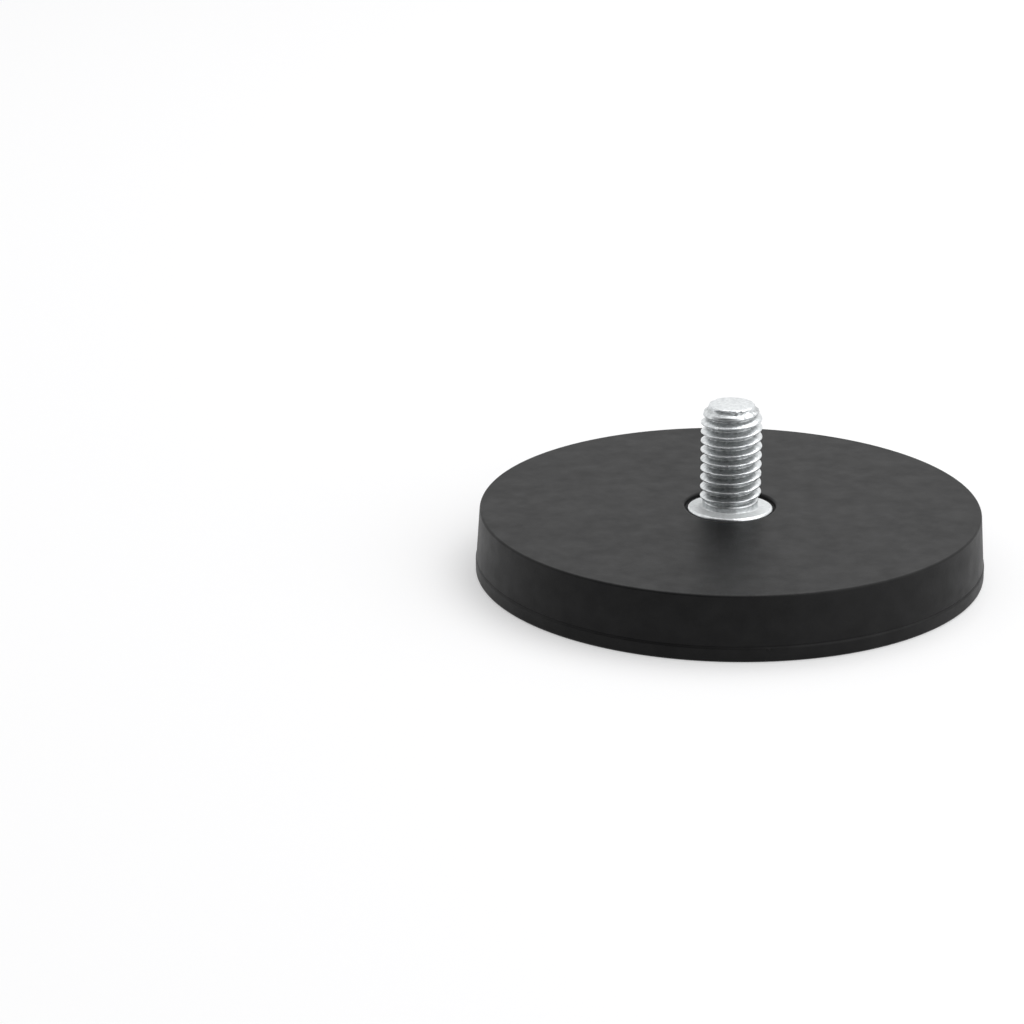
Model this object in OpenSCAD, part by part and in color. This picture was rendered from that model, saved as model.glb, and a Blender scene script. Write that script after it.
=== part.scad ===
// Rubber-covered magnetic mount with an upright threaded stud.
// A steel yoke plate carries a ring of disc magnets below and a riveted stud above,
// and rubber is moulded round all of it but the stud.
// Sizes are in millimetres. Z is 0 at the magnet face and runs up the stud.

/* [Rubber cover] */
// Diameter at the parting line, where the cover is widest
cover_d = 66; // [60:0.5:90]
// Rubber between the magnets and the magnet face
face_skin = 1.1; // [0.6:0.1:2]
// Rubber over the yoke plate
top_skin = 1; // [0.8:0.1:2]
// Rubber from the edge of the yoke plate to the widest part of the cover
rim_wall = 3; // [2.5:0.1:5]
// Draft of the side wall above the parting line, in degrees
top_draft = 3.75; // [1:0.25:7]
// Draft of the side wall below the parting line, in degrees
face_draft = 0.5; // [0.5:0.5:10]
// Radius of the top edge
top_edge_r = 0.3; // [0.1:0.05:0.6]
// Radius of the edge round the magnet face
face_edge_r = 0.4; // [0.1:0.05:0.6]
// Radius of the edge round the mouth that the stud comes out of
mouth_edge_r = 0.8; // [0.1:0.05:0.9]
// Gap between the flange of the stud and the wall of the mouth
mouth_gap = 0.4; // [0.1:0.05:1]

/* [Mould marks] */
// Height of the parting line above the magnet face
parting_z = 1.8; // [1.2:0.1:3]
// How far the band below the parting line stands out past the wall above it
ledge_w = 0.1; // [0.05:0.01:0.2]
// Height over which the wall steps back from the band
ledge_h = 0.15; // [0.1:0.05:0.5]
// Width of the ring that each magnet leaves in the magnet face
ring_w = 0.8; // [0.4:0.1:1.2]
// Depth of that ring
ring_depth = 0.12; // [0.05:0.01:0.2]

/* [Yoke plate] */
// Thickness of the steel plate
plate_t = 2.5; // [2:0.1:4]
// Radius of the punched edges of the plate
plate_edge_r = 0.4; // [0.1:0.05:0.8]

/* [Magnets] */
// Number of magnets in the ring
magnet_count = 6; // [3:1:8]
// Diameter of a magnet
magnet_d = 14; // [8:0.5:16]
// Thickness of a magnet
magnet_h = 4; // [2:0.1:6]
// Radius of the edges of a magnet
magnet_edge_r = 0.3; // [0.1:0.05:0.6]
// Plate left between the magnets and its edge
magnet_margin = 2; // [1:0.1:4]

/* [Stud] */
// Nominal diameter of the thread
thread_d = 8; // [6:1:10]
// Pitch of the thread
thread_pitch = 1.25; // [1:0.25:1.5]
// Length of the stud from the yoke plate to its tip
stud_l = 15; // [12:0.5:40]
// Plain neck between the flange and the thread
neck_l = 1; // [0.6:0.1:2]
// Fillet between the neck and the flange
neck_fillet_r = 0.4; // [0.1:0.05:0.6]
// How far the flange stands out past the thread
flange_w = 1.55; // [1:0.05:3]
// Thickness of the flange
flange_t = 1.1; // [0.5:0.1:1.5]
// Radius of the upper edge of the flange
flange_edge_r = 0.4; // [0.1:0.05:0.5]
// How far the riveted end spreads past the hole in the plate
rivet_spread = 1; // [0.5:0.1:2]
// Depth of the countersink that the riveted end fills
rivet_depth = 1; // [0.5:0.1:1.5]

/* [Hidden] */
$fn = 96;

// Heights, from the magnet face up
magnet_z = face_skin;
plate_z = magnet_z + magnet_h;
plate_top = plate_z + plate_t;
cover_h = plate_top + top_skin;
flange_top = plate_top + flange_t;
thread_z = flange_top + neck_l;
stud_top = plate_top + stud_l;

// Radii of the cover: it leans in from the parting line both ways, above it from a small ledge
face_r = cover_d / 2 - parting_z * tan(face_draft);
wall_r = cover_d / 2 - ledge_w;
ledge_top = parting_z + ledge_h;
top_r = wall_r - (cover_h - ledge_top) * tan(top_draft);

// Radii of what the cover holds
plate_r = cover_d / 2 - rim_wall;
magnet_r = magnet_d / 2;
magnet_ring_r = plate_r - magnet_margin - magnet_r;

// Radii of the stud: a metric thread is rolled on a blank of its pitch diameter,
// and its root lies 17/24 of the height of its sharp triangle below the crest
thread_r = thread_d / 2;
thread_triangle = thread_pitch * sqrt(3) / 2;
blank_r = thread_r - thread_triangle * 3 / 8;
root_r = thread_r - thread_triangle * 17 / 24;
flange_r = thread_r + flange_w;
mouth_r = flange_r + mouth_gap;
rivet_r = blank_r + rivet_spread;

// A circular groove of that width and depth in a flat face
ring_cut_r = (pow(ring_w / 2, 2) + pow(ring_depth, 2)) / (2 * ring_depth);

function unit(v) = v / norm(v);

// What a round of radius r leaves over at corner p, between the lines from p to a and from p to b
module corner_rest(a, p, b, r) {
    to_a = unit(a - p);
    to_b = unit(b - p);
    half_angle = acos(to_a * to_b) / 2;
    tangent_l = r / tan(half_angle);
    centre = p + unit(to_a + to_b) * r / sin(half_angle);
    difference() {
        polygon([p, p + to_a * tangent_l, centre, p + to_b * tangent_l]);
        translate(centre) circle(r);
    }
}

// An outline whose points are [radius, height, round]: the round of a corner is 0 where it is sharp,
// above 0 where it is rounded off and below 0 where it is filled in
module rounded_outline(points) {
    last = len(points) - 1;
    function at(i) = [points[i].x, points[i].y];
    module rest(i) corner_rest(at(i == 0 ? last : i - 1), at(i), at(i == last ? 0 : i + 1), abs(points[i].z));
    difference() {
        polygon([for (i = [0 : last]) at(i)]);
        for (i = [0 : last]) if (points[i].z > 0) rest(i);
    }
    for (i = [0 : last]) if (points[i].z < 0) rest(i);
}

// A disc that stands on z = 0, with both its edges rounded
module edged_disc(r, h, edge_r) {
    rotate_extrude() rounded_outline([[0, 0, 0], [r, 0, edge_r], [r, h, edge_r], [0, h, 0]]);
}

// Puts its children at magnet i's place in the ring
module at_magnet(i) {
    rotate(360 / magnet_count * (i - 1)) translate([magnet_ring_r, 0, 0]) children();
}

// The plate with no hole in it, which is also the room that it takes in the rubber
module plate_blank() {
    translate([0, 0, plate_z]) edged_disc(plate_r, plate_t, plate_edge_r);
}

module magnet_blank(i) {
    at_magnet(i) translate([0, 0, magnet_z]) edged_disc(magnet_r, magnet_h, magnet_edge_r);
}

// The shallow ring in the magnet face round magnet i
module witness_ring(i) {
    at_magnet(i) rotate_extrude() translate([magnet_r, ring_depth - ring_cut_r]) circle(ring_cut_r);
}

// Cover: a drafted disc with a ledge at its parting line and a mouth, moulded round the plate and the magnets
module rubber_cover() {
    color("#29292b") difference() {
        rotate_extrude() rounded_outline([
            [0, 0, 0],
            [face_r, 0, face_edge_r],
            [cover_d / 2, parting_z, 0],
            [wall_r, ledge_top, 0],
            [top_r, cover_h, top_edge_r],
            [mouth_r, cover_h, mouth_edge_r],
            [mouth_r, plate_top, 0],
            [0, plate_top, 0]
        ]);
        plate_blank();
        for (i = [1 : magnet_count]) {
            magnet_blank(i);
            witness_ring(i);
        }
    }
}

// Plate: closes the magnets' field behind them and holds the stud in a countersunk hole
module yoke_plate() {
    color("#a9abad") difference() {
        plate_blank();
        translate([0, 0, plate_z]) cylinder(h = plate_t, r = blank_r);
        translate([0, 0, plate_z]) cylinder(h = rivet_depth, r1 = rivet_r, r2 = blank_r);
    }
}

module magnet(i) {
    color("#b9b4aa") magnet_blank(i);
}

// Stud: flange, neck and thread above the plate, and a riveted end that fills the plate's countersink.
// The thread is a plain cylinder of its nominal diameter.
module threaded_stud() {
    color("#d4d8da") rotate_extrude() rounded_outline([
        [0, plate_z, 0],
        [rivet_r, plate_z, 0],
        [blank_r, plate_z + rivet_depth, 0],
        [blank_r, plate_top, 0],
        [flange_r, plate_top, 0],
        [flange_r, flange_top, flange_edge_r],
        [blank_r, flange_top, -neck_fillet_r],
        [blank_r, thread_z, 0],
        [thread_r, thread_z + thread_r - blank_r, 0],
        [thread_r, stud_top - (thread_r - root_r), 0],
        [root_r, stud_top, 0],
        [0, stud_top, 0]
    ]);
}

rubber_cover();
yoke_plate();
threaded_stud();
for (i = [1 : magnet_count])
    magnet(i);
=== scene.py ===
import math

import bmesh
import bpy
from mathutils import Matrix, Vector, noise


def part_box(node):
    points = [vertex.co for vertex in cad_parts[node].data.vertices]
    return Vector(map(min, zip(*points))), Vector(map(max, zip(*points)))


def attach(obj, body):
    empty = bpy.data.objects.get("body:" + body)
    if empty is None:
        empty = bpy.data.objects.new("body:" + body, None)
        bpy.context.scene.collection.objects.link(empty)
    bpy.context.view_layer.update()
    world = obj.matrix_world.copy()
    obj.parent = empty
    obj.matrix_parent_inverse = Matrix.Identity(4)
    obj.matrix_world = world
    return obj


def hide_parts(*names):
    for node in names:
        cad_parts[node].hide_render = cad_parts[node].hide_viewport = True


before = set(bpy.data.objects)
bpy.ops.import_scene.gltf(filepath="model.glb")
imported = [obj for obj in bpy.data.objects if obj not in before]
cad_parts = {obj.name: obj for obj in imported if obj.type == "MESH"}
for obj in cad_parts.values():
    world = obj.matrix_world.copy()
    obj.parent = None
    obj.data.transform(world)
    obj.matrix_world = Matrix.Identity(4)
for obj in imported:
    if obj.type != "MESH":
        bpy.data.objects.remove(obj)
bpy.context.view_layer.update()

MM = 0.001
TURN = math.tau

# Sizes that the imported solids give
COVER_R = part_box("rubber_cover")[1].x
COVER_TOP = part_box("rubber_cover")[1].z
PLATE_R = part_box("yoke_plate")[1].x
PLATE_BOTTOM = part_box("yoke_plate")[0].z
PLATE_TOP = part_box("yoke_plate")[1].z
MAGNET_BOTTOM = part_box("magnet_1")[0].z
MAGNET_R = (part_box("magnet_1")[1].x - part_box("magnet_1")[0].x) / 2
MAGNET_RING_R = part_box("magnet_1")[1].x - MAGNET_R
MAGNETS = [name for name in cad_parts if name.startswith("magnet_")]
FLANGE_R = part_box("threaded_stud")[1].x
STUD_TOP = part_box("threaded_stud")[1].z

# Rubber cover
PARTING_Z = 1.8 * MM
LEDGE_W = 0.1 * MM
LEDGE_H = 0.15 * MM
TOP_DRAFT = math.radians(3.75)
FACE_DRAFT = math.radians(0.5)
TOP_ROUND = 0.3 * MM
FACE_ROUND = 0.4 * MM
MOUTH_ROUND = 0.35 * MM
MOUTH_GAP = 0.34 * MM
MOUTH_SHIFT = 0.85 * MM
MOUTH_LEAST = 0.06 * MM
FILM_TOP = PLATE_TOP + 0.3 * MM
FILM_GAP = 0.02 * MM
PLATE_ROUND = 0.4 * MM
MAGNET_ROUND = 0.3 * MM
LEDGE_TOP = PARTING_Z + LEDGE_H
WALL_R = COVER_R - LEDGE_W
FACE_EDGE_R = COVER_R - PARTING_Z * math.tan(FACE_DRAFT)
TOP_EDGE_R = WALL_R - (COVER_TOP - LEDGE_TOP) * math.tan(TOP_DRAFT)
MOUTH_R = FLANGE_R + MOUTH_GAP
FACE_FLAT_R = COVER_R - 2 * MM
POCKET_FLAT_R = PLATE_R - 1 * MM
COVER_STEPS = 512

# Marks that the mould and the magnets leave in the rubber
RING_W = 0.8 * MM
RING_DEPTH = 0.12 * MM
RING_STEPS = 96
DISH_DEPTH = 0.05 * MM
DISH_STEPS = 5
GROOVE_H = 0.2 * MM
GROOVE_DEPTH = 0.14 * MM
LEDGE_GUARD = 0.12 * MM
LEDGE_WAVES = (5, 13, 29)
LEDGE_WEAR = 0.05 * MM
NUBS = 3
FIRST_NUB = math.radians(-81)
NUB_OUT = 0.2 * MM
NUB_DROP = 0.12 * MM
NUB_TAPER = 0.6
NUB_FACES = 2

# Threaded stud
PITCH = 1.25 * MM
CREST_R = 3.96 * MM
CREST_FLAT = PITCH / 8
CREST_ROUND = 0.1 * MM
CREST_WEAR = 0.08 * MM
CREST_WEAR_SIZE = 0.6 * MM
ROOT_ROUND = 0.08 * MM
FLANK_TAN = math.tan(math.radians(30))
ROOT_FLAT = 0.12 * MM
FLANK_H = (PITCH - CREST_FLAT - ROOT_FLAT) / 2
ROOT_R = CREST_R - FLANK_H / FLANK_TAN
FLANK_STEPS = 6
CREST_PHASE = 0.76 * MM
NECK_R = 3.59 * MM
NECK_ROUND = 0.2 * MM
FLANGE_TOP = PLATE_TOP + 1.1 * MM
FLANGE_ROUND = 0.4 * MM
FLANGE_LEAN = 0.04
NECK_CUT = FLANGE_TOP + 0.8 * MM
RUNOUT_Z = (NECK_CUT + 0.05 * MM, NECK_CUT + 0.6 * MM)
TIP_R = 2.98 * MM
TIP_ROUND = 0.18 * MM
COLLAR_R = 3.02 * MM
COLLAR_DEPTH = 0.5 * MM
COLLAR_ROUND = 0.08 * MM
BEAD_R = 3.55 * MM
BEAD_DEPTH = 0.82 * MM
BEAD_ROUND = 0.25 * MM
TIP_DEPTH = 2 * MM
TIP_GROOVE_ANGLE = math.radians(-95)
TIP_GROOVE_SPREAD = math.radians(60)
TIP_GROOVE_Z = STUD_TOP - 0.42 * MM
TIP_GROOVE_H = 0.4 * MM
TIP_GROOVE_DEPTH = 0.3 * MM
TIP_CUT_DEPTH = 0.04 * MM
TIP_RINGS = 4
TIP_WEAR = 0.25 * MM
TIP_WEAR_SIZE = 0.7 * MM
TIP_WORN_Z = (STUD_TOP - 2.2 * MM, STUD_TOP - 0.8 * MM)
RIVET_R = 4.59 * MM
RIVET_DEPTH = 1 * MM
THREAD_STEPS = 128
SPARE_TURNS = 2

# How finely curves are drawn
ARC_STEPS = 6
SECTORS = 16
MERGE = 0.003 * MM
CUT_MERGE = MERGE / 10

# Finishes: two colours or two roughnesses are for the low and the high end of a cloud of noise,
# and two radii or two heights are where a finish begins and where it is full
CLOUD_SPAN = (0.3, 0.7)
CLOUD_DETAIL = 5
GRAIN_DETAIL = 2
RUBBER_COLOURS = ((0.004, 0.004, 0.0042), (0.008, 0.008, 0.0083))
RUBBER_ROUGH = (0.5, 0.43)
RUBBER_GLOSS = 0.17
RUBBER_CLOUD = 2.5 * MM
RUBBER_GRAIN = 0.18 * MM
RUBBER_GRAIN_H = 0.012 * MM
ZINC_COLOURS = ((0.60, 0.62, 0.63), (0.84, 0.865, 0.875))
# Darker colours for the thread roots: painted shade in the valleys of the thread
ZINC_ROOT_SHADE_COLOURS = ((0.30, 0.31, 0.315), (0.66, 0.68, 0.685))
ZINC_FLANGE_COLOURS = ((0.62, 0.64, 0.645), (0.74, 0.76, 0.765))
ZINC_ROUGH = (0.36, 0.26)
ZINC_ROOT_ROUGH = (0.48, 0.36)
ZINC_FLANGE_ROUGH = (0.6, 0.5)
ZINC_FLANGE_METAL = 0.35
# Radii where the roots' painted shade and rougher finish give way to the worn crests
ZINC_RUB_AND_ROOT_SHADE_R = (3.2 * MM, 3.7 * MM)
ZINC_TIP_Z = (STUD_TOP - 0.7 * MM, STUD_TOP - 0.1 * MM)
ZINC_FLANGE_Z = (FLANGE_TOP + 0.15 * MM, FLANGE_TOP + 0.05 * MM)
ZINC_RIM_R = (FLANGE_R - 0.4 * MM, FLANGE_R - 0.15 * MM)
ZINC_CLOUD = 0.5 * MM
ZINC_CLOUD_DETAIL = 4
ZINC_DENTS = 0.3 * MM
ZINC_DENTS_H = 0.025 * MM
STEEL_COLOURS = ((0.45, 0.46, 0.47), (0.62, 0.63, 0.64))
STEEL_ROUGH = (0.5, 0.36)
STEEL_CLOUD = 4 * MM
STEEL_GRAIN = 0.2 * MM
STEEL_GRAIN_H = 0.008 * MM
NICKEL_COLOURS = ((0.56, 0.53, 0.48), (0.68, 0.65, 0.60))
NICKEL_ROUGH = (0.24, 0.16)
NICKEL_CLOUD = 3 * MM
NICKEL_GRAIN = 0.3 * MM
NICKEL_GRAIN_H = 0.004 * MM

# Stage
FLOOR_SIZE = 4
FLOOR_GAP = 0.01 * MM
FLOOR_COLOUR = (0.62, 0.62, 0.625)
FLOOR_GLOW = 0.41
SOFT_LIGHT = 0.5
ROOM_SIDE = Vector((-0.4, -1, 0.1)).normalized()
ROOM_EDGE = (0.32, 0.88)
ROOM_DARK = 0.06
OVERHEAD_PLACE = (0.18, 0.3, 0.7)
OVERHEAD_SIZE = 0.6
OVERHEAD_POWER = 2.5
RIGHT_PLACE = (0.56, -0.3, 0.4)
RIGHT_SIZE = 1
RIGHT_POWER = 3

# Camera of the photograph, whose focal length is given in its own pixels
PHOTO_PIXELS = 1024
FOCAL_PIXELS = 4000
SENSOR = 36
CAMERA_PLACE = (0, -0.48915, 0.18286)
CAMERA_DOWN = math.radians(19.715)
CAMERA_LEFT = math.radians(3.3135)


def smooth_step(low, high, value):
    """0 below low, 1 above high, and an even bend between them."""
    share = min(1, max(0, (value - low) / (high - low)))
    return share * share * (3 - 2 * share)


def rounded_line(corners):
    """Points of a line through (radius, height, round) corners, with an arc where the round isn't 0."""
    line = []
    for index, (radius, height, arc_r) in enumerate(corners):
        corner = Vector((radius, height))
        if arc_r == 0:
            line.append(corner)
            continue
        to_last = (Vector(corners[index - 1][:2]) - corner).normalized()
        to_next = (Vector(corners[index + 1][:2]) - corner).normalized()
        half = to_last.angle(to_next) / 2
        centre = corner + (to_last + to_next).normalized() * arc_r / math.sin(half)
        start = corner + to_last * arc_r / math.tan(half) - centre
        end = corner + to_next * arc_r / math.tan(half) - centre
        sweep = math.pi - 2 * half
        for step in range(ARC_STEPS + 1):
            share = step / ARC_STEPS
            from_start = math.sin((1 - share) * sweep) / math.sin(sweep)
            from_end = math.sin(share * sweep) / math.sin(sweep)
            line.append(centre + start * from_start + end * from_end)
    return line


def draw_line(bm, line):
    """Adds a line of (radius, height) points over the X axis, and returns its vertices and edges."""
    verts = [bm.verts.new((radius, 0, height)) for radius, height in line]
    edges = [bm.edges.new(pair) for pair in zip(verts, verts[1:])]
    return verts + edges


def geometry_of(verts):
    """The vertices with every edge and face that they carry."""
    edges = {edge for vert in verts for edge in vert.link_edges}
    faces = {face for vert in verts for face in vert.link_faces}
    return [*verts, *edges, *faces]


def only(kind, items):
    """The items of one kind: vertices, edges or faces."""
    return [item for item in items if isinstance(item, kind)]


def copy_of(bm, verts):
    """Copies what the vertices carry, and returns the vertices of the copy."""
    return only(bmesh.types.BMVert, bmesh.ops.duplicate(bm, geom=geometry_of(verts))["geom"])


def turn(bm, verts, angle):
    """Turns vertices round the Z axis."""
    bmesh.ops.rotate(bm, verts=verts, cent=(0, 0, 0), matrix=Matrix.Rotation(angle, 3, "Z"))


def turn_line(bm, line, steps):
    """Turns a line once round the Z axis, a sector first and then its copies, and returns the vertices."""
    before = set(bm.verts)
    bmesh.ops.spin(bm, geom=draw_line(bm, line), cent=(0, 0, 0), axis=(0, 0, 1),
                   angle=TURN / SECTORS, steps=steps // SECTORS)
    verts = [vert for vert in bm.verts if vert not in before]
    done = 1
    while done < SECTORS:
        copied = copy_of(bm, verts)
        turn(bm, copied, TURN * done / SECTORS)
        verts += copied
        done *= 2
    bmesh.ops.remove_doubles(bm, verts=verts, dist=MERGE)
    return [vert for vert in bm.verts if vert not in before]


def screw_line(bm, line, turns):
    """Winds a line of one pitch up the Z axis, one turn first and then its copies."""
    bmesh.ops.spin(bm, geom=draw_line(bm, line), cent=(0, 0, 0), axis=(0, 0, 1), angle=TURN,
                   steps=THREAD_STEPS, dvec=(0, 0, PITCH / THREAD_STEPS))
    done = 1
    while done < turns:
        bmesh.ops.translate(bm, verts=copy_of(bm, bm.verts[:]), vec=(0, 0, done * PITCH))
        done *= 2
    bmesh.ops.remove_doubles(bm, verts=bm.verts, dist=MERGE)


def finish_piece(bm, name, node, material):
    """Closes a mesh, makes it an object that stands for a CAD node, and gives it its material."""
    bmesh.ops.remove_doubles(bm, verts=bm.verts, dist=MERGE)
    bmesh.ops.recalc_face_normals(bm, faces=bm.faces)
    for face in bm.faces:
        face.smooth = True
    mesh = bpy.data.meshes.new(name)
    bm.to_mesh(mesh)
    bm.free()
    piece = bpy.data.objects.new(name, mesh)
    bpy.context.scene.collection.objects.link(piece)
    mesh.materials.append(material)
    normals = piece.modifiers.new("even_normals", "WEIGHTED_NORMAL")
    normals.keep_sharp = True
    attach(piece, "root")
    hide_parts(node)


def ring_edges(bm, height, radius, centre=(0, 0)):
    """The open edges that lie on a circle of that height, radius and centre."""
    def on_circle(vert):
        reach = math.hypot(vert.co.x - centre[0], vert.co.y - centre[1])
        return abs(vert.co.z - height) < MERGE and abs(reach - radius) < MERGE
    return [edge for edge in bm.edges if edge.is_boundary and all(map(on_circle, edge.verts))]


def magnet_angles():
    """Where the magnets lie round the Z axis."""
    return [TURN * index / len(MAGNETS) for index in range(len(MAGNETS))]


def witness_ring_line():
    """From the centre of a magnet's place in the face, a shallow dish, out over the ring round it."""
    dish_r = MAGNET_R - RING_W
    dish = []
    for step in range(DISH_STEPS + 1):
        share = step / DISH_STEPS
        dish.append((dish_r * share, DISH_DEPTH * (1 - share * share)))
    cut_r = ((RING_W / 2) ** 2 + RING_DEPTH ** 2) / (2 * RING_DEPTH)
    half = math.asin(RING_W / 2 / cut_r)
    groove = []
    for step in range(2 * ARC_STEPS + 1):
        angle = half * (step / ARC_STEPS - 1)
        groove.append((MAGNET_R + cut_r * math.sin(angle), RING_DEPTH - cut_r * (1 - math.cos(angle))))
    return [*dish, *groove, (MAGNET_R + RING_W, 0)]


def magnet_pocket_line():
    """From the plate down the wall of a magnet's pocket to the centre of its floor."""
    return rounded_line([
        (MAGNET_R, PLATE_BOTTOM, 0),
        (MAGNET_R, MAGNET_BOTTOM, MAGNET_ROUND),
        (0, MAGNET_BOTTOM, 0),
    ])


def wall_corner(height):
    """The corner on the drafted wall at that height."""
    return WALL_R - (height - LEDGE_TOP) * math.tan(TOP_DRAFT), height, 0


def cover_line():
    """From the magnet face up the wall with its ledge, over the top, down the mouth and round the plate."""
    return rounded_line([
        (FACE_FLAT_R, 0, 0),
        (FACE_EDGE_R, 0, FACE_ROUND),
        (COVER_R - LEDGE_GUARD * math.tan(FACE_DRAFT), PARTING_Z - LEDGE_GUARD, 0),
        (COVER_R, PARTING_Z, 0),
        (WALL_R, LEDGE_TOP, 0),
        (WALL_R - GROOVE_DEPTH, LEDGE_TOP + GROOVE_H / 2, 0),
        wall_corner(LEDGE_TOP + GROOVE_H),
        wall_corner(LEDGE_TOP + GROOVE_H + LEDGE_GUARD),
        (TOP_EDGE_R, COVER_TOP, TOP_ROUND),
        (MOUTH_R, COVER_TOP, MOUTH_ROUND),
        (MOUTH_R, FILM_TOP, 0),
        (FLANGE_R + FILM_GAP, FILM_TOP, 0),
        (FLANGE_R + FILM_GAP, PLATE_TOP, 0),
        (PLATE_R, PLATE_TOP, PLATE_ROUND),
        (PLATE_R, PLATE_BOTTOM, PLATE_ROUND),
        (POCKET_FLAT_R, PLATE_BOTTOM, 0),
    ])


def move_mouth(verts):
    """Moves the mouth off the stud's centre: open behind the flange, and all but closed before it."""
    for vert in verts:
        past_wall = vert.co.xy.length - MOUTH_R
        if vert.co.z < FILM_TOP - MERGE or past_wall < -MERGE or past_wall > MOUTH_ROUND + MERGE:
            continue
        out = vert.co.xy.normalized()
        wall_r = MOUTH_SHIFT * out.y + math.sqrt(MOUTH_R ** 2 - (MOUTH_SHIFT * out.x) ** 2)
        vert.co.xy = out * (past_wall + max(wall_r, FLANGE_R + MOUTH_LEAST))


def wear_ledge(verts):
    """Gives the lip of the ledge the uneven edge of trimmed rubber."""
    for vert in verts:
        if vert.co.xy.length < WALL_R + MERGE or abs(vert.co.z - PARTING_Z) > MERGE:
            continue
        angle = math.atan2(vert.co.y, vert.co.x)
        wave = sum(math.sin(count * angle + count) for count in LEDGE_WAVES) / len(LEDGE_WAVES)
        vert.co.xy *= 1 - LEDGE_WEAR * (1 + wave) / 2 / COVER_R


def add_nubs(bm):
    """Leaves a torn stub of rubber on the ledge at each vent of the mould."""
    for index in range(NUBS):
        angle = FIRST_NUB + TURN * index / NUBS
        out = Vector((math.cos(angle), math.sin(angle), 0))
        place = out * COVER_R + Vector((0, 0, PARTING_Z))
        faces = sorted(bm.faces, key=lambda face: (face.calc_center_median() - place).length)[:NUB_FACES]
        verts = only(bmesh.types.BMVert, bmesh.ops.extrude_face_region(bm, geom=faces)["geom"])
        bmesh.ops.delete(bm, geom=faces, context="FACES")
        bmesh.ops.translate(bm, verts=verts, vec=out * NUB_OUT - Vector((0, 0, NUB_DROP)))
        middle = Matrix.Translation(-sum((vert.co for vert in verts), Vector()) / len(verts))
        bmesh.ops.scale(bm, verts=verts, vec=(NUB_TAPER,) * 3, space=middle)
        for face in {face for vert in verts for face in vert.link_faces}:
            for edge in face.edges:
                edge.smooth = False


def build_rubber_cover(material):
    """The moulded cover, with its ledge, its mouth, the rings in its face and its room inside."""
    bm = bmesh.new()
    turned = turn_line(bm, cover_line(), COVER_STEPS)
    move_mouth(turned)
    wear_ledge(turned)
    add_nubs(bm)
    ring = turn_line(bm, witness_ring_line(), RING_STEPS)
    first_place = ring + turn_line(bm, magnet_pocket_line(), RING_STEPS)
    bmesh.ops.translate(bm, verts=first_place, vec=(MAGNET_RING_R, 0, 0))
    for angle in magnet_angles()[1:]:
        turn(bm, copy_of(bm, first_place), angle)
    face_edges = ring_edges(bm, 0, FACE_FLAT_R)
    floor_edges = ring_edges(bm, PLATE_BOTTOM, POCKET_FLAT_R)
    for angle in magnet_angles():
        centre = MAGNET_RING_R * math.cos(angle), MAGNET_RING_R * math.sin(angle)
        face_edges += ring_edges(bm, 0, MAGNET_R + RING_W, centre)
        floor_edges += ring_edges(bm, PLATE_BOTTOM, MAGNET_R, centre)
    bmesh.ops.triangle_fill(bm, edges=face_edges, use_beauty=True, normal=(0, 0, -1))
    bmesh.ops.triangle_fill(bm, edges=floor_edges, use_beauty=True, normal=(0, 0, 1))
    finish_piece(bm, "moulded_rubber_cover", "rubber_cover", material)


def thread_line():
    """One pitch of the thread, from the middle of a crest over a root to the middle of the next crest."""
    fall = [(CREST_R, CREST_FLAT / 2, CREST_ROUND)]
    for step in range(1, FLANK_STEPS - 1):
        share = step / FLANK_STEPS
        fall.append((CREST_R + (ROOT_R - CREST_R) * share, CREST_FLAT / 2 + FLANK_H * share, 0))
    fall.append((ROOT_R, CREST_FLAT / 2 + FLANK_H, ROOT_ROUND))
    rise = [(radius, PITCH - height, arc_r) for radius, height, arc_r in reversed(fall)]
    return rounded_line([(CREST_R, 0, 0), *fall, *rise, (CREST_R, PITCH, 0)])


def tip_line():
    """From the end's flat down the collar and over the worn last crest, as (radius, depth) points."""
    return rounded_line([
        (0, 0, 0),
        (TIP_R, 0, TIP_ROUND),
        (COLLAR_R, COLLAR_DEPTH, COLLAR_ROUND),
        (BEAD_R, BEAD_DEPTH, BEAD_ROUND),
        (CREST_R, TIP_DEPTH, 0),
    ])[1:]


def tip_edge_r(line, depth):
    """Radius that the line of the tip has at a depth below the end of the stud."""
    for (upper_r, upper), (lower_r, lower) in zip(line, line[1:]):
        if depth <= lower:
            return upper_r + (lower_r - upper_r) * max(0, depth - upper) / (lower - upper)
    return CREST_R


def worn_crest_r(place):
    """The radius that uneven wear leaves of the crests."""
    return CREST_R - CREST_WEAR * max(0, noise.noise(place / CREST_WEAR_SIZE))


def worn_tip_r(line, place):
    """The radius that the tip's own line, its wear and the groove at its front leave of the thread."""
    worn = smooth_step(*TIP_WORN_Z, place.z) * max(0, noise.noise(place / TIP_WEAR_SIZE))
    aside = abs(math.atan2(place.y, place.x) - TIP_GROOVE_ANGLE)
    off_level = abs(place.z - TIP_GROOVE_Z)
    groove = smooth_step(TIP_GROOVE_SPREAD, 0, aside) * smooth_step(TIP_GROOVE_H / 2, 0, off_level)
    return tip_edge_r(line, STUD_TOP - place.z) - TIP_WEAR * worn - TIP_GROOVE_DEPTH * groove


def close_end(bm, line):
    """Draws an open end out along a line of (radius, height) points, from the first one, and closes it."""
    end_z = line[0][1]
    edges = [edge for edge in bm.edges
             if edge.is_boundary and all(abs(vert.co.z - end_z) < MERGE for vert in edge.verts)]
    for (last_r, last_z), (radius, level) in zip(line, line[1:]):
        drawn = bmesh.ops.extrude_edge_only(bm, edges=edges)["geom"]
        edges = only(bmesh.types.BMEdge, drawn)
        for vert in only(bmesh.types.BMVert, drawn):
            vert.co.xy *= radius / last_r
            vert.co.z += level - last_z
    verts = only(bmesh.types.BMVert, bmesh.ops.extrude_edge_only(bm, edges=edges)["geom"])
    bmesh.ops.pointmerge(bm, verts=verts, merge_co=(0, 0, verts[0].co.z))


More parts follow.
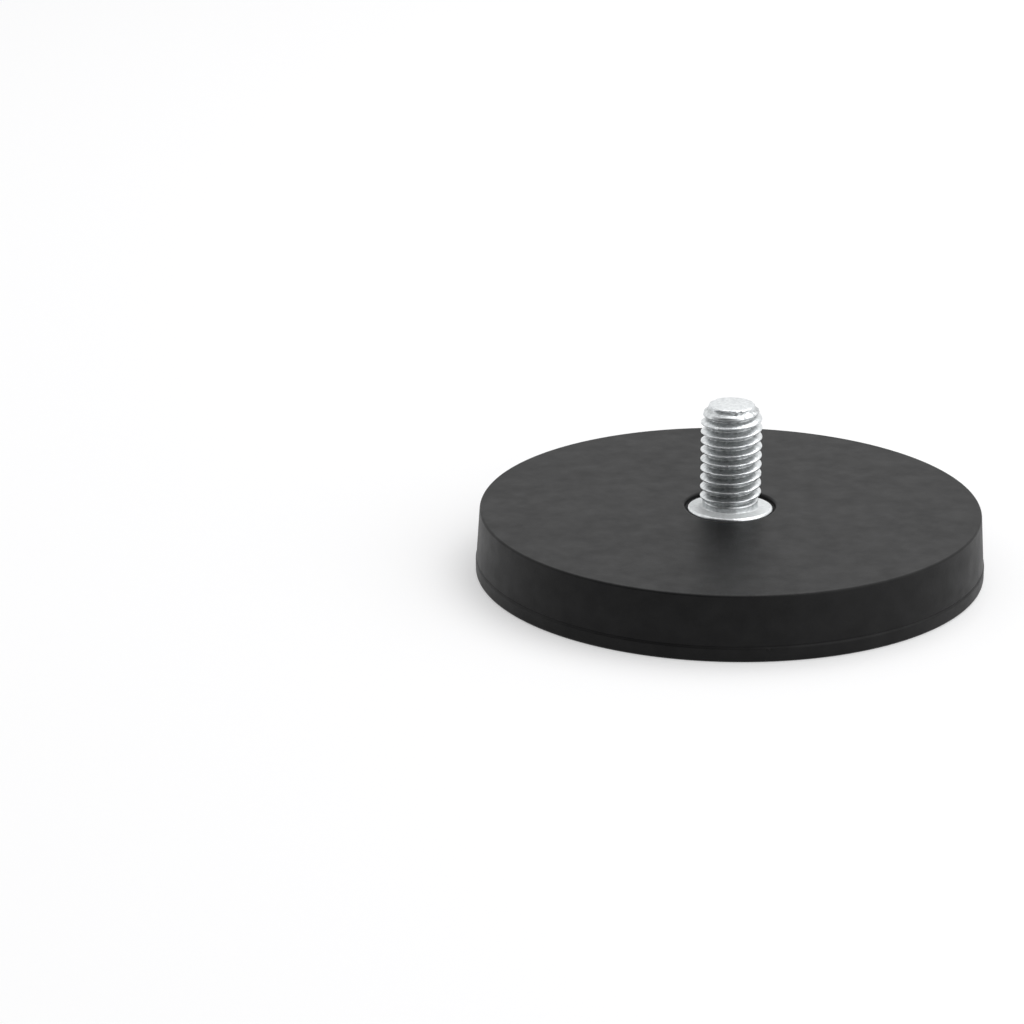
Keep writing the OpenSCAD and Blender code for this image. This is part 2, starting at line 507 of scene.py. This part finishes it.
def lean_flange(bm):
    """Leans the top of the flange back, and leaves its seat on the plate and the thread upright."""
    for vert in bm.verts:
        if PLATE_TOP + MERGE < vert.co.z < NECK_CUT - MERGE:
            vert.co.z -= FLANGE_LEAN * vert.co.y


def build_threaded_stud(material):
    """The stud: a screwed thread with a worn tip, a neck, a flange and a riveted end."""
    bm = bmesh.new()
    turns = math.ceil((STUD_TOP - NECK_CUT) / PITCH) + SPARE_TURNS
    lowest = NECK_CUT - SPARE_TURNS * PITCH
    first_z = lowest + (CREST_PHASE - lowest) % PITCH
    screw_line(bm, [(radius, first_z + height) for radius, height in thread_line()], turns)
    tip = tip_line()
    for vert in bm.verts:
        radius = vert.co.xy.length
        kept = smooth_step(*RUNOUT_Z, vert.co.z)
        shaped = min(NECK_R + (radius - NECK_R) * kept, worn_crest_r(vert.co), worn_tip_r(tip, vert.co))
        vert.co.xy *= shaped / radius
    tip_cut = STUD_TOP - TIP_CUT_DEPTH
    for height, side in ((tip_cut, 1), (NECK_CUT, -1)):
        bmesh.ops.bisect_plane(bm, geom=bm.verts[:] + bm.edges[:] + bm.faces[:], dist=CUT_MERGE,
                               plane_co=(0, 0, height), plane_no=(0, 0, side), clear_outer=True)
    close_end(bm, rounded_line([
        (NECK_R, NECK_CUT, 0),
        (NECK_R, FLANGE_TOP, NECK_ROUND),
        (FLANGE_R, FLANGE_TOP, FLANGE_ROUND),
        (FLANGE_R, PLATE_TOP, 0),
        (NECK_R, PLATE_TOP, 0),
        (NECK_R, PLATE_BOTTOM + RIVET_DEPTH, 0),
        (RIVET_R, PLATE_BOTTOM, 0),
    ]))
    lean_flange(bm)
    depths = [TIP_CUT_DEPTH * (1 - ring / TIP_RINGS) ** 2 for ring in range(TIP_RINGS + 1)]
    rings = [(tip_edge_r(tip, depth), STUD_TOP - depth) for depth in depths]
    close_end(bm, [*rings, (rings[-1][0] / 2, STUD_TOP)])
    finish_piece(bm, "zinc_plated_stud", "threaded_stud", material)


def feed(tree, socket, value):
    """Gives a socket a link from another node's output, or a fixed value."""
    if isinstance(value, bpy.types.NodeSocket):
        tree.links.new(value, socket)
    else:
        socket.default_value = value


def add_node(tree, kind, inputs=None, **settings):
    """Adds a node with those settings, and feeds the inputs that are named or numbered."""
    node = tree.nodes.new(kind)
    for name, setting in settings.items():
        setattr(node, name, setting)
    for name, value in (inputs or {}).items():
        feed(tree, node.inputs[name], value)
    return node


def larger_of(tree, first, second):
    """The larger of two values."""
    return add_node(tree, "ShaderNodeMath", {0: first, 1: second}, operation="MAXIMUM").outputs[0]


def spread(tree, value, start, end, low=0, high=1, **settings):
    """Brings a value that runs from start to end to the range from low to high."""
    inputs = {"Value": value, "From Min": start, "From Max": end, "To Min": low, "To Max": high}
    return add_node(tree, "ShaderNodeMapRange", inputs, **settings).outputs["Result"]


class Finish:
    """A material under construction: its Principled shader and short ways to add nodes."""

    def __init__(self, name):
        self.material = bpy.data.materials.new(name)
        self.material.use_nodes = True
        self.tree = self.material.node_tree
        self.shader = self.tree.nodes["Principled BSDF"]
        self.place = add_node(self.tree, "ShaderNodeTexCoord").outputs["Object"]

    def set(self, **values):
        """Feeds sockets of the shader, whose names are written with _ for a space."""
        for name, value in values.items():
            feed(self.tree, self.shader.inputs[name.replace("_", " ")], value)

    def noise(self, size, detail):
        """Noise whose features are about that size, in metres."""
        inputs = {"Vector": self.place, "Scale": 1 / size, "Detail": detail}
        return add_node(self.tree, "ShaderNodeTexNoise", inputs).outputs["Fac"]

    def cloud(self, size, detail):
        """Noise brought to the range from 0 to 1."""
        return spread(self.tree, self.noise(size, detail), *CLOUD_SPAN)

    def radius(self):
        """The distance from the Z axis."""
        inputs = {0: self.place, 1: (1, 1, 0)}
        flat = add_node(self.tree, "ShaderNodeVectorMath", inputs, operation="MULTIPLY").outputs["Vector"]
        return add_node(self.tree, "ShaderNodeVectorMath", {0: flat}, operation="LENGTH").outputs["Value"]

    def height(self, lean=0):
        """The height above the magnet face, where a surface that leans by that much counts as level."""
        inputs = {0: self.place, 1: (0, lean, 1)}
        return add_node(self.tree, "ShaderNodeVectorMath", inputs, operation="DOT_PRODUCT").outputs["Value"]

    def mix(self, kind, share, low, high):
        """A colour or a number between two, which are fixed or come from other nodes."""
        node = add_node(self.tree, "ShaderNodeMix", data_type=kind)
        inputs = [socket for socket in node.inputs if socket.enabled]
        for socket, value in zip(inputs, (share, low, high)):
            feed(self.tree, socket, (*value, 1) if isinstance(value, tuple) else value)
        return next(socket for socket in node.outputs if socket.enabled)

    def bump(self, value, height):
        """A bump of that height in metres."""
        inputs = {"Height": value, "Distance": height}
        self.set(Normal=add_node(self.tree, "ShaderNodeBump", inputs).outputs["Normal"])


def clouded_finish(name, colours, rough, cloud_size, grain_size, grain_h, **sockets):
    """A finish whose colour and gloss drift in clouds, over a fine grain."""
    finish = Finish(name)
    cloud = finish.cloud(cloud_size, CLOUD_DETAIL)
    finish.set(Base_Color=finish.mix("RGBA", cloud, *colours), Roughness=finish.mix("FLOAT", cloud, *rough),
               **sockets)
    finish.bump(finish.noise(grain_size, GRAIN_DETAIL), grain_h)
    return finish.material


def zinc_finish():
    """Bright zinc plate: worn bright on crests and tip, duller and rougher in the roots, matt on the
    flange; the darker colour in the roots is painted shade of the thread's valleys.
    """
    finish = Finish("bright_zinc")
    cloud = finish.cloud(ZINC_CLOUD, ZINC_CLOUD_DETAIL)
    radius = finish.radius()
    on_crest = spread(finish.tree, radius, *ZINC_RUB_AND_ROOT_SHADE_R)
    on_tip = spread(finish.tree, finish.height(), *ZINC_TIP_Z)
    # Crests and tip: the worn finish, with none of the painted shade of the roots
    rubbed_and_unshaded = larger_of(finish.tree, on_crest, on_tip)
    on_flange = spread(finish.tree, finish.height(FLANGE_LEAN), *ZINC_FLANGE_Z)
    on_rim = spread(finish.tree, radius, *ZINC_RIM_R)

    def by_place(kind, root, bright, matt):
        """Each place on the stud gets its own one of three values."""
        thread = finish.mix(kind, rubbed_and_unshaded, root, bright)
        flange = finish.mix(kind, on_rim, matt, bright)
        return finish.mix(kind, on_flange, thread, flange)

    # Root colours are darker: painted shade in the thread's valleys, on top of the roots' rougher finish
    colours = [finish.mix("RGBA", cloud, *pair)
               for pair in (ZINC_ROOT_SHADE_COLOURS, ZINC_COLOURS, ZINC_FLANGE_COLOURS)]
    roughs = [finish.mix("FLOAT", cloud, *pair)
              for pair in (ZINC_ROOT_ROUGH, ZINC_ROUGH, ZINC_FLANGE_ROUGH)]
    finish.set(Base_Color=by_place("RGBA", *colours), Roughness=by_place("FLOAT", *roughs),
               Metallic=by_place("FLOAT", 1, 1, ZINC_FLANGE_METAL))
    finish.bump(finish.noise(ZINC_DENTS, GRAIN_DETAIL), ZINC_DENTS_H)
    return finish.material


def dress_inner_pieces():
    """Gives the plate and the magnets inside the cover their finishes."""
    steel = clouded_finish("dull_zinc", STEEL_COLOURS, STEEL_ROUGH, STEEL_CLOUD, STEEL_GRAIN, STEEL_GRAIN_H,
                           Metallic=1)
    nickel = clouded_finish("magnet_nickel", NICKEL_COLOURS, NICKEL_ROUGH, NICKEL_CLOUD, NICKEL_GRAIN,
                            NICKEL_GRAIN_H, Metallic=1)
    for name in ["yoke_plate", *MAGNETS]:
        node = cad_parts[name]
        node.data.materials.clear()
        node.data.materials.append(nickel if name in MAGNETS else steel)


def floor_finish():
    """Matt white that glows only for rays from the camera, a mirror or glass, so that it shows as white."""
    material = bpy.data.materials.new("white_floor")
    material.use_nodes = True
    tree = material.node_tree
    tree.nodes.clear()
    rays = add_node(tree, "ShaderNodeLightPath").outputs
    mirrored = larger_of(tree, rays["Is Camera Ray"], rays["Is Glossy Ray"])
    seen = larger_of(tree, mirrored, rays["Is Transmission Ray"])
    lift = add_node(tree, "ShaderNodeMath", {0: seen, 1: FLOOR_GLOW}, operation="MULTIPLY")
    glow = add_node(tree, "ShaderNodeEmission", {"Strength": lift.outputs[0]})
    matt = add_node(tree, "ShaderNodeBsdfDiffuse", {"Color": (*FLOOR_COLOUR, 1)})
    both = add_node(tree, "ShaderNodeAddShader", {0: matt.outputs[0], 1: glow.outputs[0]})
    add_node(tree, "ShaderNodeOutputMaterial", {"Surface": both.outputs[0]})
    return material


def build_floor():
    """A wide white floor that keeps the object's shadow."""
    bm = bmesh.new()
    bmesh.ops.create_grid(bm, x_segments=1, y_segments=1, size=FLOOR_SIZE)
    bmesh.ops.translate(bm, verts=bm.verts, vec=(0, 0, -FLOOR_GAP))
    mesh = bpy.data.meshes.new("floor")
    bm.to_mesh(mesh)
    bm.free()
    mesh.materials.append(floor_finish())
    floor = bpy.data.objects.new("floor", mesh)
    bpy.context.scene.collection.objects.link(floor)


def build_world():
    """White to the eye, a soft even light, and a darker room in front for the metal to show."""
    world = bpy.data.worlds.new("white_studio")
    bpy.context.scene.world = world
    world.use_nodes = True
    tree = world.node_tree
    tree.nodes.clear()
    rays = add_node(tree, "ShaderNodeLightPath").outputs
    inputs = {0: add_node(tree, "ShaderNodeTexCoord").outputs["Generated"], 1: ROOM_SIDE}
    facing = add_node(tree, "ShaderNodeVectorMath", inputs, operation="DOT_PRODUCT").outputs["Value"]
    room = spread(tree, facing, *ROOM_EDGE, 1, ROOM_DARK, interpolation_type="SMOOTHSTEP")
    soft, mirrored, white = [
        add_node(tree, "ShaderNodeBackground", {"Color": (1, 1, 1, 1), "Strength": strength}).outputs[0]
        for strength in (SOFT_LIGHT, room, 1)
    ]
    inputs = {0: rays["Is Glossy Ray"], 1: soft, 2: mirrored}
    light = add_node(tree, "ShaderNodeMixShader", inputs).outputs[0]
    inputs = {0: rays["Is Camera Ray"], 1: light, 2: white}
    seen = add_node(tree, "ShaderNodeMixShader", inputs).outputs[0]
    add_node(tree, "ShaderNodeOutputWorld", {"Surface": seen})


def add_softbox(name, place, size, power):
    """A square area lamp that points at the middle of the mount."""
    lamp = bpy.data.lights.new(name, "AREA")
    lamp.size = size
    lamp.energy = power
    light = bpy.data.objects.new(name, lamp)
    light.location = place
    light.rotation_euler = (-Vector(place)).to_track_quat("-Z", "Y").to_euler()
    bpy.context.scene.collection.objects.link(light)


def build_camera():
    """The photograph's view: from a little above, with the mount right of the middle."""
    camera = bpy.data.objects.new("camera", bpy.data.cameras.new("camera"))
    camera.data.sensor_width = SENSOR
    camera.data.lens = SENSOR * FOCAL_PIXELS / PHOTO_PIXELS
    camera.location = CAMERA_PLACE
    camera.rotation_euler = (TURN / 4 - CAMERA_DOWN, 0, CAMERA_LEFT)
    bpy.context.scene.collection.objects.link(camera)
    bpy.context.scene.camera = camera


build_camera()
build_rubber_cover(clouded_finish("black_rubber", RUBBER_COLOURS, RUBBER_ROUGH, RUBBER_CLOUD, RUBBER_GRAIN,
                                  RUBBER_GRAIN_H, Specular_IOR_Level=RUBBER_GLOSS))
build_threaded_stud(zinc_finish())
dress_inner_pieces()
build_floor()
build_world()
add_softbox("overhead_softbox", OVERHEAD_PLACE, OVERHEAD_SIZE, OVERHEAD_POWER)
add_softbox("right_softbox", RIGHT_PLACE, RIGHT_SIZE, RIGHT_POWER)
bpy.context.scene.view_settings.view_transform = "Standard"
